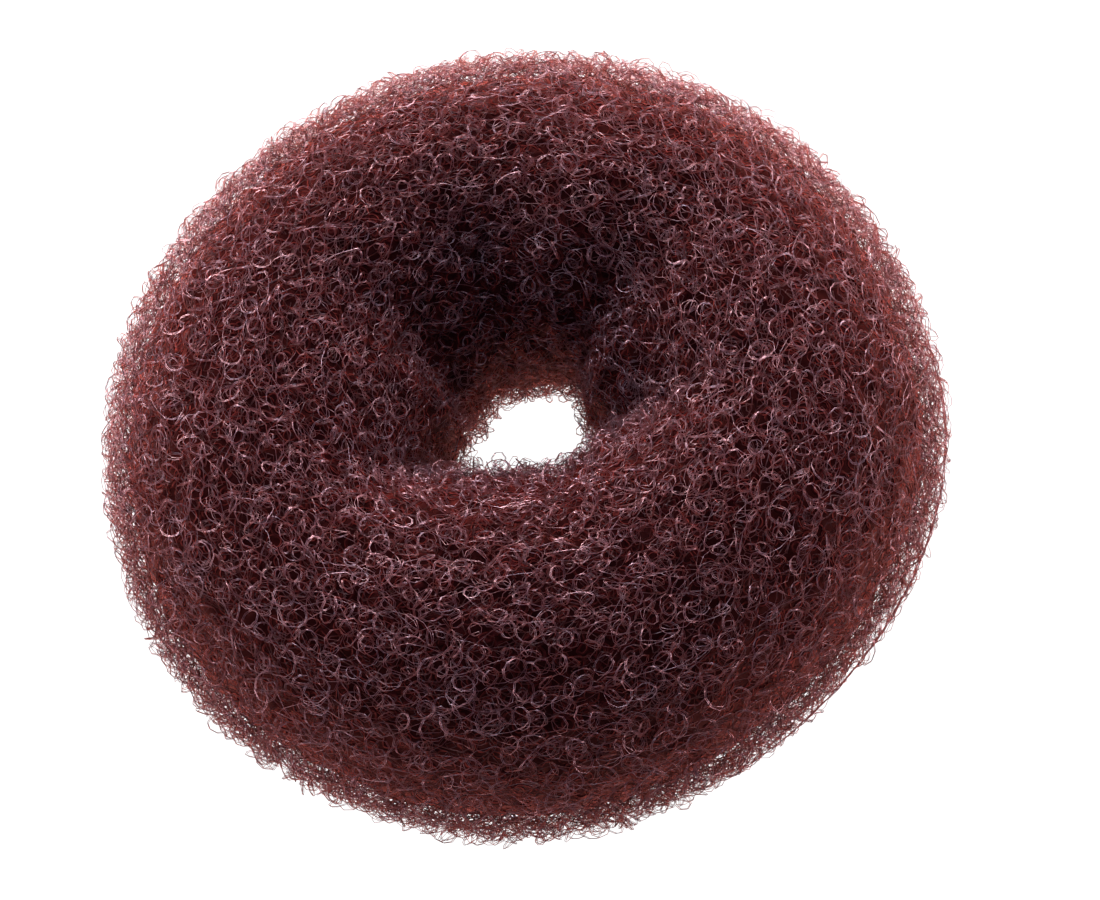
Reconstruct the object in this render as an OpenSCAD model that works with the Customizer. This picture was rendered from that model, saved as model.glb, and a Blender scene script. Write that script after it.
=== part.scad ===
// Hair donut bun maker: a tube of springy loop mesh, rolled up into one fat ring.
// Z is up. The origin is on the resting plane, at the middle of the ring.

/* [Ring] */
// Width of the hole at its waist, halfway up the ring
hole_d = 11.2; // [6:0.2:40]
// Width of the rolled tube, from the hole to the outside
tube_w = 39.4; // [16:0.2:60]
// Height of the rolled tube, from the resting plane to the crown
tube_h = 38.4; // [12:0.2:60]
// Width of the band of the tube that lies flat on a table
foot_w = 11; // [2:0.5:14]

/* [Unevenness] */
// Depth of the deepest fold that runs down into the hole
fold_depth = 2.1; // [0:0.1:3]
// How far the outside swells out or is flattened, at most
swell = 0.6; // [0:0.1:2]

/* [Mesh] */
// Reddish brown of the nylon loops
mesh_colour = "#4a1f22"; // [#4a1f22:Brown, #17110f:Black, #c9a672:Blond]

/* [Hidden] */

// The ring is a sweep, with this many sections round it and this many corners on each section
ring_sections = 80;
section_corners = 43;

// The tube's own middle line, and the section's half width and half height
mid_r = hole_d / 2 + tube_w / 2;
half_w = tube_w / 2;
half_h = tube_h / 2;
// Below its waist the section is part of a taller ellipse, which the resting plane cuts foot_w wide
foot_angle = acos(foot_w / tube_w);
under_h = half_h / sin(foot_angle);
// How fast the folds fade out from the waist of the hole towards the crown and the foot
fold_fade = 1.5;

// One row for each place round the ring where its form turns, by its angle from +X towards +Y.
// fold: how far the throat's wall is set back, as a share of fold_depth; less than 0 stands forward.
// side: how far the outside stands out, as a share of swell; less than 0 is flattened.
ANGLE = 0;
FOLD = 1;
SIDE = 2;
TURNS = [
    // angle, fold, side
    [0, -0.15, -0.3],
    [42, 1, -0.1],
    [85, 0.3, 0.1],
    [130, 0.6, 0],
    [165, -0.5, 0.1],
    [205, 0.5, 0],
    [228, 0.15, -0.4],
    [255, -0.15, 0.3],
    [300, 0.85, -1],
    [342, 0.4, 0.8],
];

// The last row that starts at or before an angle, and the row after it, once round
function row_before(a) = max([for (i = [0:len(TURNS) - 1]) if (TURNS[i][ANGLE] <= a) i]);
function row_after(i) = (i + 1) % len(TURNS);

// 0 to 1 with a level start and a level end
function eased(t) = t * t * (3 - 2 * t);

// A column's share at an angle, eased from each row to the next
function share(column, a) =
    let (i = row_before(a))
    let (j = row_after(i))
    let (gap = (TURNS[j][ANGLE] - TURNS[i][ANGLE] + 360) % 360)
    let (t = eased((a - TURNS[i][ANGLE]) / gap))
    TURNS[i][column] * (1 - t) + TURNS[j][column] * t;

// A corner of the section at angle a round the ring and angle v round the tube, as [radius, height].
// v is 0 at the outside, 90 at the crown and 180 in the hole.
function corner(a, v) =
    let (out = max(cos(v), 0))
    let (in = max(-cos(v), 0))
    let (up = max(sin(v), 0))
    let (down = max(-sin(v), 0))
    let (reach = half_w * cos(v))
    let (set_back = share(FOLD, a) * fold_depth * pow(in, fold_fade))
    let (stands_out = share(SIDE, a) * swell * out)
    [
        mid_r + reach + set_back + stands_out,
        half_h + half_h * up - under_h * down,
    ];

// The section's corners run from the outer edge of the foot, over the crown, to its inner edge
function corner_angle(k) = -foot_angle + k * (180 + 2 * foot_angle) / (section_corners - 1);

// Every section's corners in turn, as points in space
ring_points = [
    for (s = [0:ring_sections - 1])
        let (a = s * 360 / ring_sections)
        for (k = [0:section_corners - 1])
            let (c = corner(a, corner_angle(k)))
            [c[0] * cos(a), c[0] * sin(a), c[1]]
];

// The number of a corner in ring_points; both counts start again once they are round
function point_number(s, k) = (s % ring_sections) * section_corners + k % section_corners;

// Two triangles between each corner, the next corner and the same two on the next section
ring_faces = [
    for (s = [0:ring_sections - 1])
        for (k = [0:section_corners - 1])
            for (half = [0, 1])
                half == 0
                    ? [point_number(s, k), point_number(s, k + 1), point_number(s + 1, k + 1)]
                    : [point_number(s, k), point_number(s + 1, k + 1), point_number(s + 1, k)]
];

module mesh_ring() {
    color(mesh_colour)
        polyhedron(points = ring_points, faces = ring_faces, convexity = 4);
}

mesh_ring();
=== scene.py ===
"""A hair donut bun maker: a fat ring of rolled-up, curly loop mesh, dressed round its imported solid."""

import math
from typing import NamedTuple

import bpy
import numpy as np
from mathutils import Matrix, Vector, noise
from mathutils.bvhtree import BVHTree

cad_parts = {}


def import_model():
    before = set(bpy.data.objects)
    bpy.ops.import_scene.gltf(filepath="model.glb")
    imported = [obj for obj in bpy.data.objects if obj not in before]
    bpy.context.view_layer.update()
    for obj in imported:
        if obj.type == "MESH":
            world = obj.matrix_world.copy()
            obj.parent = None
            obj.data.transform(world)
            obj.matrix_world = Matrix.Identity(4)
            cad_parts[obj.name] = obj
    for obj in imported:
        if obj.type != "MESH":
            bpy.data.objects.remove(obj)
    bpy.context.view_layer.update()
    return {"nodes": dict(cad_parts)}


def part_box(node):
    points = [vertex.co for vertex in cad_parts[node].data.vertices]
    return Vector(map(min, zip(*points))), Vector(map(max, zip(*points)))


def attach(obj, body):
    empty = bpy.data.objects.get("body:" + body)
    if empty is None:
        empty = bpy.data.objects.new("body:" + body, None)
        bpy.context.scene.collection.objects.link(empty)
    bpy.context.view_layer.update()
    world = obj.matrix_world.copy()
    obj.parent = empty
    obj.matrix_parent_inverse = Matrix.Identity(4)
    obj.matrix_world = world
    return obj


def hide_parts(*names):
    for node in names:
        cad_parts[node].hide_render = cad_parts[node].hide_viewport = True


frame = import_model()

MM = 0.001
TURN = 2 * math.pi
NODE = "mesh_ring"
BODY = "root"


# The form of the solid


class Crease(NamedTuple):
    """A crease in the mesh, or a bulge where its depth is less than 0."""

    at: float  # degrees round the ring
    up: float  # degrees round the tube
    depth: float  # millimetres


CREASES = [
    Crease(at=28, up=122, depth=2.6),
    Crease(at=88, up=128, depth=2.4),
    Crease(at=126, up=148, depth=2.2),
    Crease(at=188, up=178, depth=2.6),
    Crease(at=204, up=138, depth=2.6),
    Crease(at=338, up=138, depth=3.2),
    Crease(at=358, up=140, depth=1.6),
    Crease(at=124, up=195, depth=-2.4),
]
# How far each spreads round the ring and round the tube, in degrees
CREASE_SPAN = (12, 26)


def crease_depth(a, v):
    """How far the creases sink the mesh under the solid's skin."""
    span_a, span_v = (math.radians(span) for span in CREASE_SPAN)
    depth = 0
    for crease in CREASES:
        near_a = (np.cos(a - math.radians(crease.at)) - 1) / span_a ** 2
        near_v = (np.cos(v - math.radians(crease.up)) - 1) / span_v ** 2
        depth = depth + crease.depth * MM * np.exp(near_a + near_v)
    return depth


class Form:
    """The solid's skin, by an angle a round the ring and an angle v round the tube.

    v is 0 at the outside, a quarter turn at the crown and half a turn in the hole.
    """

    # How many places round the ring the skin is measured at, and how many round the tube at each
    STEPS_A = 240
    STEPS_V = 144
    # Rays that come in from outside start this far from the middle of the hole, in metres
    FAR = 1.0

    def __init__(self, node):
        mesh = frame["nodes"][node].data
        tree = BVHTree.FromPolygons([v.co for v in mesh.vertices], [p.vertices for p in mesh.polygons])
        low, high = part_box(node)
        self.mid_z = (low.z + high.z) / 2
        angles = np.arange(self.STEPS_A) * TURN / self.STEPS_A
        around = [Vector((math.cos(a), math.sin(a), 0)) for a in angles]
        centre = Vector((0, 0, self.mid_z))
        inner = [tree.ray_cast(centre, d)[3] for d in around]
        outer = [self.FAR - tree.ray_cast(centre + d * self.FAR, -d)[3] for d in around]
        self.mid_r = (np.mean(inner) + np.mean(outer)) / 2
        self.reach = np.empty((self.STEPS_A, self.STEPS_V))
        for i, d in enumerate(around):
            start = centre + d * self.mid_r
            for j in range(self.STEPS_V):
                v = j * TURN / self.STEPS_V
                ray = d * math.cos(v) + Vector((0, 0, math.sin(v)))
                self.reach[i, j] = tree.ray_cast(start, ray)[3]
        self.tube_r = self.reach.mean()

    def reach_at(self, a, v):
        """How far the skin is from the tube's middle line."""
        x = a / TURN * self.STEPS_A
        y = v / TURN * self.STEPS_V
        i, j = np.floor(x).astype(int), np.floor(y).astype(int)
        s, t = x - i, y - j
        i, i2 = i % self.STEPS_A, (i + 1) % self.STEPS_A
        j, j2 = j % self.STEPS_V, (j + 1) % self.STEPS_V
        before = self.reach[i, j] * (1 - t) + self.reach[i, j2] * t
        after = self.reach[i2, j] * (1 - t) + self.reach[i2, j2] * t
        return before * (1 - s) + after * s

    def axes_at(self, a, v):
        """Unit vectors along the ring, round the tube and out of the skin."""
        out = np.stack([np.cos(a), np.sin(a), np.zeros_like(a)], 1)
        along = np.stack([-np.sin(a), np.cos(a), np.zeros_like(a)], 1)
        up = np.array([0.0, 0.0, 1.0])
        cos_v, sin_v = np.cos(v)[:, None], np.sin(v)[:, None]
        return along, up * cos_v - out * sin_v, out * cos_v + up * sin_v

    def point(self, a, v, depth):
        """The point that lies depth under the creased skin."""
        normal = self.axes_at(a, v)[2]
        middle = np.stack([np.cos(a) * self.mid_r, np.sin(a) * self.mid_r, np.full_like(a, self.mid_z)], 1)
        return middle + normal * (self.reach_at(a, v) - depth - crease_depth(a, v))[:, None]


form = Form(NODE)


# Directions and easing


def unit(vectors):
    """The same directions, at length 1."""
    return vectors / np.linalg.norm(vectors, axis=1, keepdims=True)


def across(vectors, axis):
    """The part of vectors that is square to axis, as unit vectors."""
    return unit(vectors - axis * (vectors * axis).sum(1, keepdims=True))


def ease(t):
    """0 to 1 with a level start and a level end."""
    return t * t * (3 - 2 * t)


def hump(t):
    """0 to 1 and back to 0, as t goes from 0 to 1."""
    return 4 * t * (1 - t)


# Meshes


def new_mesh(name, points, quads, shades=None):
    """A smooth-shaded object from points and four-cornered faces, with a shade at each point or none."""
    mesh = bpy.data.meshes.new(name)
    mesh.vertices.add(len(points))
    mesh.vertices.foreach_set("co", np.asarray(points, np.float32).ravel())
    mesh.loops.add(quads.size)
    mesh.loops.foreach_set("vertex_index", quads.astype(np.int32).ravel())
    mesh.polygons.add(len(quads))
    mesh.polygons.foreach_set("loop_start", np.arange(len(quads), dtype=np.int32) * 4)
    mesh.update(calc_edges=True)
    mesh.shade_smooth()
    if shades is not None:
        layer = mesh.attributes.new("shade", "FLOAT", "POINT")
        layer.data.foreach_set("value", shades.astype(np.float32))
    piece = bpy.data.objects.new(name, mesh)
    bpy.context.scene.collection.objects.link(piece)
    return piece


def grid_quads(rows, columns):
    """The faces of a closed sweep: rows and columns both run once round."""
    i, j = np.meshgrid(np.arange(rows), np.arange(columns), indexing="ij")
    i2, j2 = (i + 1) % rows, (j + 1) % columns
    corners = [i * columns + j, i2 * columns + j, i2 * columns + j2, i * columns + j2]
    return np.stack(corners, -1).reshape(-1, 4)


SIDES = 3
# A three-sided tube looks as wide as its strand when its corners are this share of that width
# from its middle line
CORNER_SHARE = 0.6


class Tube(NamedTuple):
    """The points and faces of a strand, with a shade for each point."""

    points: np.ndarray
    quads: np.ndarray
    shades: np.ndarray


def tube(line, axis, wire, shades):
    """A thin tube along a closed line of points, whose loops lie square to axis."""
    ahead = unit(np.roll(line, -1, 0) - np.roll(line, 1, 0))
    side = unit(np.cross(ahead, axis))
    up = np.cross(side, ahead)
    turns = [k * TURN / SIDES for k in range(SIDES)]
    corners = [line + (side * math.cos(t) + up * math.sin(t)) * CORNER_SHARE * wire * MM for t in turns]
    return Tube(np.stack(corners, 1).reshape(-1, 3), grid_quads(len(line), SIDES), np.repeat(shades, SIDES))


def joined(name, tubes):
    """One object from many tubes."""
    points = np.concatenate([t.points for t in tubes])
    starts = np.cumsum([0] + [len(t.points) for t in tubes])
    quads = np.concatenate([t.quads + start for t, start in zip(tubes, starts)])
    return new_mesh(name, points, quads, np.concatenate([t.shades for t in tubes]))


# The looped strands


class Layer(NamedTuple):
    """A layer of looped strands, with its lengths in millimetres."""

    name: str
    depth: float  # from the skin to the middles of the loops
    varies: float  # spread of that depth
    gap: float  # from row to row round the tube
    step: float  # from loop to loop along a row
    radius: float  # of a loop
    wire: float  # thickness of the strand
    lean: float  # spread of the slopes at which loops lean out of the skin
    turns: int  # how often the strand goes round before the next loop
    held: float  # share of those turns for which it keeps to one loop, before it eases to the next
    corners: int  # points drawn for each turn


LAYERS = [
    Layer("outer", depth=0.9, varies=0.22, gap=1.95, step=2.32, radius=1.04, wire=0.058,
          lean=0.75, turns=2, held=0.77, corners=9),
    Layer("middle", depth=1.15, varies=0.4, gap=1.8, step=2.05, radius=0.78, wire=0.066,
          lean=1.1, turns=2, held=0.7, corners=7),
    Layer("inner", depth=1.9, varies=0.5, gap=1.55, step=1.4, radius=0.75, wire=0.1,
          lean=1.2, turns=1, held=0.4, corners=5),
]
# The first layer's random seed; each of the others has the next number
FIRST_SEED = 11
# A piece has no more triangles than this
MOST_TRIANGLES = 190_000

# The size of the loops at the crown, as a share of their layer's, and how much larger they are
# round the outside and smaller in the hole
USUAL_SIZE = 0.96
SIZE_CHANGE = 0.14
# Rows are this many times further apart where nobody sees them: where the sine of their angle round
# the tube is less than the first value on its outer half, or the second on its inner half
SPARSENESS = 2.5
UNDER_FOOT = -0.9
UNDER_MOUTH = -0.6
# How much more loops lean over and vary in depth at the waist of the hole than outside
HOLE_FUZZ = 0.6

# How far a strand drifts along its row while it keeps to one loop, as a share of the step
DRIFT = 0.12
# How far it dips under the other loops on its way to the next, as a share of the radius
DIP = 0.5
# Each row wanders across its neighbours in waves: how often round the ring, and how far for each wave,
# as a share of the gap
WAVES = (9, 17, 26)
WANDER = 0.15
# Every other loop of a row is moved across it this way and the rest the other way, as a share of the gap
ZIGZAG = 0.25

# How unevenly loops lie along their row, as a share of the step, and across it, as a share of the gap
UNEVEN_ALONG = 0.2
UNEVEN_ACROSS = 0.3
# How unevenly they are sized, as a share of the radius
UNEVEN_SIZE = 0.2
# How unevenly they are narrowed or widened, as a share of their size, and the widest that they may be
UNEVEN_WIDTH = 0.12
WIDEST = 1.2
# How unevenly the strand comes in to them, in radians
UNEVEN_START = 0.3
# No loop strays from the usual by more than this many times its spread
MOST_SPREAD = 1.7


def loop_size(v):
    """The loops are widest round the outside and crowded together in the hole."""
    return USUAL_SIZE + SIZE_CHANGE * np.cos(v)


def sparseness(v):
    """Rows under the foot and in the hole's lower mouth are further apart."""
    hidden = math.sin(v) < (UNDER_FOOT if math.cos(v) > 0 else UNDER_MOUTH)
    return SPARSENESS if hidden else 1.0


def fuzz(v):
    """Loops are more ruffled in the hole."""
    return 1 + HOLE_FUZZ * max(-math.cos(v), 0)


def rows_of(layer):
    """The angles round the tube at which a layer's rows run."""
    rows = []
    v = 0.0
    while v < TURN:
        rows.append(v)
        v += layer.gap * MM * loop_size(v) * sparseness(v) / (form.tube_r - layer.depth * MM)
    return rows


def curl(rng, layer, v_row):
    """One closed row of loops: its points, the axis of the loop at each, and its loop's shade."""
    size = loop_size(v_row)
    depth = layer.depth * MM
    round_r = form.mid_r + (form.tube_r - depth) * math.cos(v_row)
    step = layer.step * MM * size * sparseness(v_row)
    # The number of loops is even, so that the zigzag closes
    loops = 2 * round(TURN * round_r / step / 2)
    per_loop = layer.turns * layer.corners
    at = np.arange(loops * per_loop) / per_loop
    loop = at.astype(int)
    eased = ease(np.clip((at - loop - layer.held) / (1 - layer.held), 0, 1))

    def spread(width):
        """A random value for each loop, eased to the next one's."""
        values = np.clip(rng.normal(0, width, loops), -MOST_SPREAD * width, MOST_SPREAD * width)
        return values[loop] * (1 - eased) + values[(loop + 1) % loops] * eased

    # Where the strand is round the ring and round the tube
    moved = loop + DRIFT * (at - loop) + (1 - DRIFT) * eased
    a = (moved + spread(UNEVEN_ALONG)) / loops * TURN + rng.uniform(0, TURN)
    sway = sum(np.sin(wave * a + rng.uniform(0, TURN)) for wave in WAVES)
    side = ZIGZAG * np.where(loop % 2, 1 - 2 * eased, 2 * eased - 1)
    v = v_row + (WANDER * sway + side + spread(UNEVEN_ACROSS)) * layer.gap * MM / form.tube_r

    # How its loops stand and how wide they are
    along, round_tube, normal = form.axes_at(a, v)
    lean = layer.lean * fuzz(v_row)
    axis = unit(normal + along * spread(lean)[:, None] + round_tube * spread(lean)[:, None])
    first = across(along, axis)
    second = np.cross(axis, first) * rng.choice([-1, 1])
    radius = layer.radius * MM * size * np.exp(spread(UNEVEN_SIZE))
    wide = np.minimum(1 + spread(UNEVEN_WIDTH), WIDEST)

    # Halfway to the next loop the strand is a quarter turn behind a loop's foremost point, and so it
    # runs forward along the row
    halfway = (1 + layer.held) / 2
    turned = TURN * (layer.turns * (at - halfway) - 0.25) + spread(UNEVEN_START)
    dip = DIP * radius * hump(eased)
    middle = form.point(a, v, depth + dip + spread(layer.varies * MM) * fuzz(v_row))
    reach = first * np.cos(turned)[:, None] + second * (wide * np.sin(turned))[:, None]
    points = middle + reach * radius[:, None]
    # No strand sinks into the floor
    points[:, 2] = np.maximum(points[:, 2], CORNER_SHARE * layer.wire * MM)
    return points, axis, rng.uniform(size=loops)[loop]


def strands(layer, seed):
    """A layer's rows as joined pieces, each under the limit of triangles."""
    rng = np.random.default_rng(seed)
    groups = []
    room = 0
    for v in rows_of(layer):
        line, axis, shades = curl(rng, layer, v)
        row = tube(line, axis, layer.wire, shades)
        triangles = 2 * len(row.quads)
        if triangles > room:
            groups.append([])
            room = MOST_TRIANGLES
        groups[-1].append(row)
        room -= triangles
    return [joined(f"{layer.name}_loops_{number}", rows) for number, rows in enumerate(groups, 1)]


# The stretched edge of the mesh


class Stretch(NamedTuple):
    """A long flat loop of strand, pulled tight along the outside of the ring."""

    start: float  # degrees round the ring
    end: float  # degrees round the ring
    low: float  # degrees round the tube, at the side nearest the camera
    depth: float  # millimetres
    height: float  # of the loop, in millimetres


STRETCHED = [
    Stretch(start=-74, end=-22, low=-30, depth=0.4, height=0.5),
    Stretch(start=-62, end=-8, low=-34, depth=0.3, height=0.7),
    Stretch(start=-48, end=6, low=-27, depth=0.5, height=0.45),
]
# The thickness of their strand in millimetres, and how light it is from 0 to 1
STRETCHED_WIRE = 0.09
STRETCHED_SHADE = 0.5
# How many points are drawn for each
STRETCHED_POINTS = 400
# How far they wander in each wave, in millimetres, and how often
TREMBLE = 0.12
TREMBLES = (23, 41)


def stretched_edge():
    """Doubled strands that run along the outside where the mesh's edge is pulled tight."""
    t = np.arange(STRETCHED_POINTS) * TURN / STRETCHED_POINTS
    shades = np.full(STRETCHED_POINTS, STRETCHED_SHADE)
    tubes = []
    for number, stretch in enumerate(STRETCHED):
        a = np.radians(stretch.start + (stretch.end - stretch.start) * (1 - np.cos(t)) / 2)
        shake = sum(np.sin(often * t + number) for often in TREMBLES) * TREMBLE
        rise = stretch.height / 2 * np.sin(t) + shake
        v = np.radians(-stretch.low) * np.sin(a) + rise * MM / form.tube_r
        line = form.point(a, v, (stretch.depth + shake / 2) * MM)
        tubes.append(tube(line, form.axes_at(a, v)[2], STRETCHED_WIRE, shades))
    return joined("stretched_edge", tubes)


# The wound core under the loops

# How deep it lies under the skin, and how much less deep in the hole, in millimetres
CORE_DEPTH = 3.2
CORE_NEARER = 1.4
# How many sections it has round the ring, and how many corners each of them has
CORE_STEPS_A = 200
CORE_STEPS_V = 100
# The height of its lumps and the size of the noise that makes them, in millimetres
CORE_BUMP = 1.1
CORE_CELL = 1.5


def core():
    """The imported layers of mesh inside, lumpy where their loops press through."""
    i, j = np.meshgrid(np.arange(CORE_STEPS_A), np.arange(CORE_STEPS_V), indexing="ij")
    a, v = i.ravel() * TURN / CORE_STEPS_A, j.ravel() * TURN / CORE_STEPS_V
    depth = CORE_DEPTH - CORE_NEARER * np.clip(-np.cos(v), 0, 1)
    flat = form.point(a, v, depth * MM)
    lumps = np.array([noise.noise(Vector(p) / (CORE_CELL * MM)) for p in flat])
    points = form.point(a, v, (depth - CORE_BUMP * lumps) * MM)
    return new_mesh("wound_core", points, grid_quads(CORE_STEPS_A, CORE_STEPS_V))


# Materials


class Nodes:
    """A short way to write a material's nodes."""

    def __init__(self, name):
        self.material = bpy.data.materials.new(name)
        self.material.use_nodes = True
        self.tree = self.material.node_tree
        self.tree.nodes.clear()

    def add(self, kind, settings=None, **inputs):
        """A node with its settings, and with its inputs by name or, such as in0, by number."""
        node = self.tree.nodes.new(kind)
        for key, value in (settings or {}).items():
            setattr(node, key, value)
        for key, value in inputs.items():
            socket = node.inputs[int(key[2:]) if key.startswith("in") else key.replace("_", " ")]
            if isinstance(value, bpy.types.NodeSocket):
                self.tree.links.new(value, socket)
            else:
                socket.default_value = value
        return node

    def calculate(self, operation, *values):
        """The result of an operation on up to three numbers."""
        inputs = {f"in{number}": value for number, value in enumerate(values)}
        return self.add("ShaderNodeMath", {"operation": operation}, **inputs).outputs[0]

    def between(self, share, first, second):
        """A share of the way from the first number to the second."""
        settings = {"data_type": "FLOAT"}
        return self.add("ShaderNodeMix", settings, in0=share, in2=first, in3=second).outputs[0]

    def ramp(self, value, stops):
        """The colour at a value from 0 to 1, from stops that each have a place and a colour."""
        node = self.add("ShaderNodeValToRGB", Fac=value)
        marks = node.color_ramp.elements
        while len(marks) < len(stops):
            marks.new(0.5)
        for mark, (place, colour) in zip(marks, stops):
            mark.position = place
            mark.color = (*colour, 1)
        return node.outputs["Color"]

    def output(self, shader):
        """The finished material."""
        self.add("ShaderNodeOutputMaterial", Surface=shader)
        return self.material


class Look(NamedTuple):
    """How a layer's nylon looks, with painted shade in the deeper layers' colours and glints."""

    glow: float  # share of its body that lets light through
    glint: float  # share of the light that it mirrors
    roughest: float  # roughness of its dullest places
    dark: tuple  # colour of its darkest strands
    light: tuple  # colour of its lightest strands


# Deeper layers are the same nylon: their darker colours and weaker glints are painted shade
LOOKS = {
    "outer": Look(glow=0.62, glint=0.52, roughest=0.36,
                  dark=(0.04, 0.01, 0.014), light=(0.08, 0.024, 0.03)),
    "middle": Look(glow=0.55, glint=0.3, roughest=0.36,
                   dark=(0.014, 0.003, 0.005), light=(0.035, 0.008, 0.012)),
    "inner": Look(glow=0.28, glint=0.08, roughest=0.4,
                  dark=(0.01, 0.002, 0.003), light=(0.025, 0.005, 0.008)),
}
# The roughness of a strand's smoothest places, as a share of its roughest
SMOOTHEST = 0.7
# The noise that makes patches of strands darker or lighter, and the noise along each strand, in spots
# to the metre
PATCH_SCALE = 90.0
FINE_SCALE = 2500.0
# How much the patches count next to each loop's own shade, and the sums that are darkest and lightest
PATCH_SHARE = 0.8
DARKEST = 0.2
LIGHTEST = 1.4
# How high the fine noise stands, in metres, and how much of that shows
FINE_HEIGHT = 0.00002
FINE_RELIEF = 0.05
# The colour of light that comes through, and of glints on dark and on light strands
THROUGH_NYLON = (1.0, 0.42, 0.31, 1)
GLINTS = [(0.0, (0.5, 0.38, 0.43)), (0.8, (1.0, 0.86, 0.95))]


def strand_material(name, look):
    """Thin nylon: dark and shiny from the front, and glowing red-brown where light comes through it."""
    n = Nodes(name)
    place = n.add("ShaderNodeTexCoord").outputs["Object"]
    shade = n.add("ShaderNodeAttribute", {"attribute_name": "shade"}).outputs["Fac"]
    patches = n.add("ShaderNodeTexNoise", Vector=place, Scale=PATCH_SCALE, Detail=2.0).outputs["Fac"]
    mixed = n.calculate("MULTIPLY_ADD", patches, PATCH_SHARE, shade)
    spread = n.add("ShaderNodeMapRange", Value=mixed, From_Min=DARKEST, From_Max=LIGHTEST).outputs[0]
    colour = n.ramp(spread, [(0.0, look.dark), (1.0, look.light)])
    fine = n.add("ShaderNodeTexNoise", Vector=place, Scale=FINE_SCALE, Detail=1.0).outputs["Fac"]
    smoothest = SMOOTHEST * look.roughest
    rough = n.add("ShaderNodeMapRange", Value=fine, To_Min=smoothest, To_Max=look.roughest).outputs[0]
    bump = n.add("ShaderNodeBump", Strength=FINE_RELIEF, Distance=FINE_HEIGHT, Height=fine).outputs[0]
    body = n.add("ShaderNodeBsdfPrincipled", Base_Color=colour, Roughness=rough, Normal=bump)
    body.inputs["Specular IOR Level"].default_value = 0.5
    glow = n.add("ShaderNodeBsdfTranslucent", Color=THROUGH_NYLON)
    both = n.add("ShaderNodeMixShader", in0=look.glow, in1=body.outputs[0], in2=glow.outputs[0])
    gloss = n.ramp(spread, GLINTS)
    glint = n.add("ShaderNodeBsdfGlossy", Color=gloss, Roughness=rough, Normal=bump)
    coated = n.add("ShaderNodeMixShader", in0=look.glint, in1=both.outputs[0], in2=glint.outputs[0])
    return n.output(coated.outputs[0])


# Two sizes of painted rings on the core: how many for each metre, and how wide their lines are
PAINTED_RINGS = ((430.0, 0.07), (620.0, 0.09))
# How far a ring's line is from its middle; this and the lines' widths are shares of the rings' spacing
RING_RADIUS = 0.42
# The colours between the rings and on them, both darkened as painted shade of the mesh deep inside
CORE_COLOURS = [(0.0, (0.016, 0.0015, 0.003)), (1.0, (0.06, 0.009, 0.012))]
# How high the rings stand, in metres, and how much of that shows
RING_HEIGHT = 0.0003
RING_RELIEF = 0.8
# The colour of the core's sheen
CORE_SHEEN = (0.9, 0.2, 0.15, 1)


def core_material():
    """The mesh further in, with rings of strand in it; its near black and dull rings are painted shade."""
    n = Nodes("wound_mesh")
    place = n.add("ShaderNodeTexCoord").outputs["Object"]
    smooth = {"interpolation_type": "SMOOTHSTEP"}
    rings = 0.0
    for scale, width in PAINTED_RINGS:
        cells = n.add("ShaderNodeTexVoronoi", Vector=place, Scale=scale).outputs["Distance"]
        away = n.calculate("ABSOLUTE", n.calculate("SUBTRACT", cells, RING_RADIUS))
        ring = n.add("ShaderNodeMapRange", smooth, Value=away, From_Max=width, To_Min=1.0, To_Max=0.0)
        rings = n.calculate("MAXIMUM", rings, ring.outputs[0])
    colour = n.ramp(rings, CORE_COLOURS)
    bump = n.add("ShaderNodeBump", Strength=RING_RELIEF, Distance=RING_HEIGHT, Height=rings).outputs[0]
    body = n.add("ShaderNodeBsdfPrincipled", Base_Color=colour, Roughness=0.75, Normal=bump)
    body.inputs["Specular IOR Level"].default_value = 0.05
    body.inputs["Sheen Weight"].default_value = 1.0
    body.inputs["Sheen Roughness"].default_value = 0.5
    body.inputs["Sheen Tint"].default_value = CORE_SHEEN
    return n.output(body.outputs[0])


# The floor is a light table. How brightly it shines, by distance from the middle in metres: least under
# the inner half of the tube, and most a little way outside the ring
FLOOR_GLOW = [(0.0, 4.0), (0.008, 3.6), (0.016, 2.0), (0.034, 4.0), (0.066, 5.6), (0.1, 4.0), (0.16, 0.0)]
# It shines no less than this anywhere
LEAST_GLOW = 1.0
# For each metre to the right and to the back, it is brighter by these powers of e
FLOOR_GROWTH = (2.0, 15.0, 0.0)
# How bright it looks in the strands' glints
FLOOR_MIRRORED = 0.08
# The floor and the world look this bright to the eye, which is plain white
WHITE_SEEN = 1.12
WHITE = (1, 1, 1, 1)
# The sheet's own greys, in patches of this many to the metre
FLOOR_GREYS = [(0.0, (0.1, 0.1, 0.1)), (1.0, (0.12, 0.12, 0.12))]
FLOOR_PATCHES = 6.0


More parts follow.
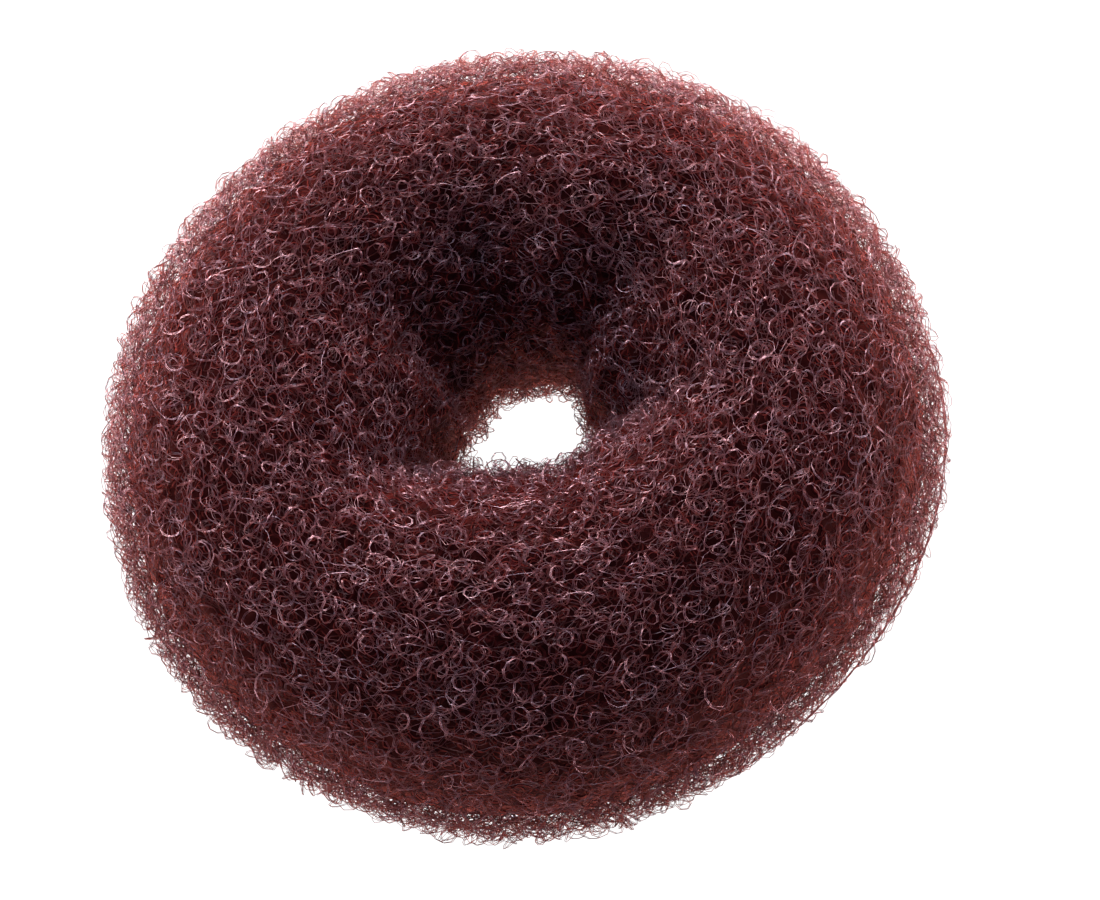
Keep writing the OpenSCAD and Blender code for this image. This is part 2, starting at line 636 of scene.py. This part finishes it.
def floor_material():
    """A plain pale sheet that light comes up through."""
    n = Nodes("pale_floor")
    place = n.add("ShaderNodeTexCoord").outputs["Object"]
    patches = n.add("ShaderNodeTexNoise", Vector=place, Scale=FLOOR_PATCHES, Detail=2.0).outputs["Fac"]
    colour = n.ramp(patches, FLOOR_GREYS)
    away = n.add("ShaderNodeVectorMath", {"operation": "LENGTH"}, in0=place).outputs["Value"]
    far = FLOOR_GLOW[-1][0]
    most = max(light for _, light in FLOOR_GLOW)
    share = n.add("ShaderNodeMapRange", Value=away, From_Max=far).outputs[0]
    band = n.ramp(share, [(r / far, (light / most,) * 3) for r, light in FLOOR_GLOW])
    power = n.add("ShaderNodeVectorMath", {"operation": "DOT_PRODUCT"}, in0=place, in1=FLOOR_GROWTH)
    growth = n.calculate("EXPONENT", power.outputs["Value"])
    shining = n.calculate("MULTIPLY", n.calculate("MULTIPLY", band, most), growth)
    ray = n.add("ShaderNodeLightPath").outputs
    lit = n.calculate("MAXIMUM", shining, LEAST_GLOW)
    mirrored = n.between(ray["Is Glossy Ray"], lit, FLOOR_MIRRORED)
    seen = n.between(ray["Is Camera Ray"], mirrored, WHITE_SEEN)
    body = n.add("ShaderNodeBsdfPrincipled", Base_Color=colour, Roughness=0.7, Emission_Color=WHITE,
                 Emission_Strength=seen)
    return n.output(body.outputs[0])


# The pieces

core_piece = core()
core_piece.data.materials.append(core_material())
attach(core_piece, BODY)
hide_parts(NODE)

for number, layer in enumerate(LAYERS):
    nylon = strand_material(f"nylon_{layer.name}", LOOKS[layer.name])
    made = strands(layer, FIRST_SEED + number)
    if layer.name == "outer":
        made.append(stretched_edge())
    for piece in made:
        piece.data.materials.append(nylon)
        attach(piece, BODY)


# The floor and the light

# The side of the floor, in metres
FLOOR_SIZE = 4.0
# The world gives this little light, of this colour, to all but the eye
WORLD_LIGHT = 0.1
WORLD_COLOUR = (0.85, 0.6, 1.0, 1)


class Lamp(NamedTuple):
    """A square softbox that faces the ring."""

    name: str
    place: tuple  # metres
    size: float  # metres
    power: float  # watts
    colour: tuple


LAMPS = [
    Lamp("top", (0.0, 0.0, 0.6), 0.15, 0.34, (0.8, 0.8, 1.0)),
    Lamp("high back", (0.0, 0.42, 0.42), 0.15, 0.9, (0.94, 0.86, 1.0)),
    Lamp("low back", (0.0, 0.56, 0.2), 0.2, 2.8, (1.0, 0.66, 0.64)),
    Lamp("left", (-0.6, 0.1, 0.16), 0.2, 1.05, (1.0, 0.6, 0.6)),
    Lamp("right", (0.6, 0.1, 0.2), 0.2, 1.65, (1.0, 0.6, 0.6)),
]


def floor():
    """The light table, which the ring rests on."""
    bpy.ops.mesh.primitive_plane_add(size=FLOOR_SIZE)
    plane = bpy.context.object
    plane.name = "floor"
    plane.data.materials.append(floor_material())


def soft_light(lamp):
    """Hangs a lamp, turned to the ring."""
    data = bpy.data.lights.new(lamp.name, "AREA")
    data.size = lamp.size
    data.energy = lamp.power
    data.color = lamp.colour
    light = bpy.data.objects.new(lamp.name, data)
    light.location = lamp.place
    to_ring = Vector((0, 0, form.mid_z)) - Vector(lamp.place)
    light.rotation_mode = "QUATERNION"
    light.rotation_quaternion = to_ring.to_track_quat("-Z", "Y")
    bpy.context.scene.collection.objects.link(light)


def world():
    """White to the eye, with less light in it than the lamps give."""
    scene_world = bpy.data.worlds.new("studio")
    scene_world.use_nodes = True
    tree = scene_world.node_tree
    sky = tree.nodes["Background"]
    seen = tree.nodes.new("ShaderNodeLightPath").outputs["Is Camera Ray"]
    colour = tree.nodes.new("ShaderNodeMixRGB")
    colour.inputs["Color1"].default_value = WORLD_COLOUR
    colour.inputs["Color2"].default_value = WHITE
    tree.links.new(seen, colour.inputs["Fac"])
    tree.links.new(colour.outputs["Color"], sky.inputs["Color"])
    strength = tree.nodes.new("ShaderNodeMapRange")
    strength.inputs["To Min"].default_value = WORLD_LIGHT
    strength.inputs["To Max"].default_value = WHITE_SEEN
    tree.links.new(seen, strength.inputs["Value"])
    tree.links.new(strength.outputs[0], sky.inputs["Strength"])
    bpy.context.scene.world = scene_world
    bpy.context.scene.view_settings.view_transform = "Standard"


# The camera

# The photograph's frame and where the ring's middle is in it, in its pixels
FRAME_W = 1100
FRAME_H = 900
RING_X = 520.6
RING_Y = 432.6
# The view that the outline and the hole of the ring give: distance in metres, angles in degrees, and
# the photograph's pixels to a millimetre at that distance
DISTANCE = 0.35
ELEVATION = 61.4
ROLL = 15.2
PIXELS_PER_MM = 9.42
# The width of the sensor, in millimetres
SENSOR = 36.0
# The camera sees from this near to this far, in metres
SEES_FROM = 0.01
SEES_TO = 10


def camera():
    """Looks at the ring from the photograph's angle, with the ring where the photograph has it."""
    elevation, roll = math.radians(ELEVATION), math.radians(ROLL)
    ahead = Vector((0, math.cos(elevation), -math.sin(elevation)))
    level = Vector((1, 0, 0))
    over = Vector((0, math.sin(elevation), math.cos(elevation)))
    right = level * math.cos(roll) - over * math.sin(roll)
    up = level * math.sin(roll) + over * math.cos(roll)
    focal = PIXELS_PER_MM * DISTANCE / MM
    aim = ahead + right * ((FRAME_W / 2 - RING_X) / focal) - up * ((FRAME_H / 2 - RING_Y) / focal)
    back = -aim.normalized()
    right = up.cross(back).normalized()
    up = back.cross(right)
    data = bpy.data.cameras.new("camera")
    data.sensor_width = SENSOR
    data.lens = SENSOR * focal / FRAME_W
    data.clip_start = SEES_FROM
    data.clip_end = SEES_TO
    made = bpy.data.objects.new("camera", data)
    place = Vector((0, 0, form.mid_z)) - ahead * DISTANCE
    made.matrix_world = Matrix.Translation(place) @ Matrix((right, up, back)).transposed().to_4x4()
    bpy.context.scene.collection.objects.link(made)
    bpy.context.scene.camera = made


floor()
world()
for lamp in LAMPS:
    soft_light(lamp)
camera()
